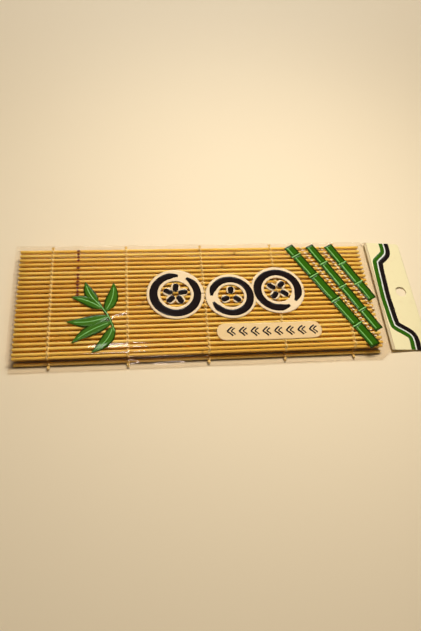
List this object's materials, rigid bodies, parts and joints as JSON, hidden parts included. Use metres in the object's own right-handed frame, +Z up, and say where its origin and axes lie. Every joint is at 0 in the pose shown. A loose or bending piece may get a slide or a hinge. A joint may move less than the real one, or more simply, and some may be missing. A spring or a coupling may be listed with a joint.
{
  "type": "sushi rolling mat",
  "caption": "Bamboo rolling mat of round sticks woven with cotton twine, folded in three inside a clear film bag with a hang header; slides out and unfolds flat.",
  "frame": {"origin": "centre of the plan on the table, under the bag", "axes": "+X along the sticks towards the hang header, +Y across the sticks to the far side, +Z up from the table"},
  "size_m": [0.2792, 0.0979, 0.0104],
  "materials": {
    "bamboo": "satin, dry split bamboo",
    "cotton_twine": "matt twisted cotton",
    "clear_film": "glossy clear film",
    "header_film": "cream printed film"
  },
  "bodies": {
    "bag": {"film_front": "clear_film", "film_back": "clear_film", "film_neck": "clear_film", "near_side_weld": "clear_film", "far_side_weld": "clear_film", "header_panel": "header_film", "header_weld": "clear_film"},
    "bottom_panel": {"bottom_sticks": "bamboo", "bottom_twine_1a": "cotton_twine", "bottom_twine_1b": "cotton_twine", "bottom_twine_2a": "cotton_twine", "bottom_twine_2b": "cotton_twine", "bottom_twine_3a": "cotton_twine", "bottom_twine_3b": "cotton_twine", "bottom_twine_4a": "cotton_twine", "bottom_twine_4b": "cotton_twine", "bottom_twine_5a": "cotton_twine", "bottom_twine_5b": "cotton_twine", "bottom_edge_knots": "cotton_twine"},
    "far_fold": {"far_fold_stick": "bamboo", "far_fold_twines": "cotton_twine"},
    "middle_panel": {"middle_sticks": "bamboo", "middle_twine_1a": "cotton_twine", "middle_twine_1b": "cotton_twine", "middle_twine_2a": "cotton_twine", "middle_twine_2b": "cotton_twine", "middle_twine_3a": "cotton_twine", "middle_twine_3b": "cotton_twine", "middle_twine_4a": "cotton_twine", "middle_twine_4b": "cotton_twine", "middle_twine_5a": "cotton_twine", "middle_twine_5b": "cotton_twine"},
    "near_fold": {"near_fold_stick": "bamboo", "near_fold_twines": "cotton_twine"},
    "top_panel": {"top_sticks": "bamboo", "top_twine_1a": "cotton_twine", "top_twine_1b": "cotton_twine", "top_twine_2a": "cotton_twine", "top_twine_2b": "cotton_twine", "top_twine_3a": "cotton_twine", "top_twine_3b": "cotton_twine", "top_twine_4a": "cotton_twine", "top_twine_4b": "cotton_twine", "top_twine_5a": "cotton_twine", "top_twine_5b": "cotton_twine", "top_edge_knots": "cotton_twine"}
  },
  "joints": [
    {"name": "mat_slide", "type": "slide", "parent": "bag", "child": "bottom_panel", "axis": [-1, 0, 0], "range_m": [0, 0.25]},
    {"name": "far_fold_lower", "type": "hinge", "parent": "bottom_panel", "child": "far_fold", "pos_m": [0, 0.04119, 0.00167], "axis": [-1, 0, 0], "range_deg": [0, 90], "deforming": ["film_front", "film_neck"]},
    {"name": "far_fold_upper", "type": "hinge", "parent": "far_fold", "child": "middle_panel", "pos_m": [0, 0.04119, 0.00522], "axis": [-1, 0, 0], "range_deg": [0, 90]},
    {"name": "near_fold_lower", "type": "hinge", "parent": "middle_panel", "child": "near_fold", "pos_m": [0, -0.04046, 0.00522], "axis": [1, 0, 0], "range_deg": [0, 90]},
    {"name": "near_fold_upper", "type": "hinge", "parent": "near_fold", "child": "top_panel", "pos_m": [0, -0.04046, 0.00877], "axis": [1, 0, 0], "range_deg": [0, 90]}
  ],
  "couplings": [
    {"joint": "far_fold_upper", "follows": "far_fold_lower", "ratio": 1},
    {"joint": "near_fold_lower", "follows": "far_fold_lower", "ratio": 1},
    {"joint": "near_fold_upper", "follows": "far_fold_lower", "ratio": 1}
  ]
}
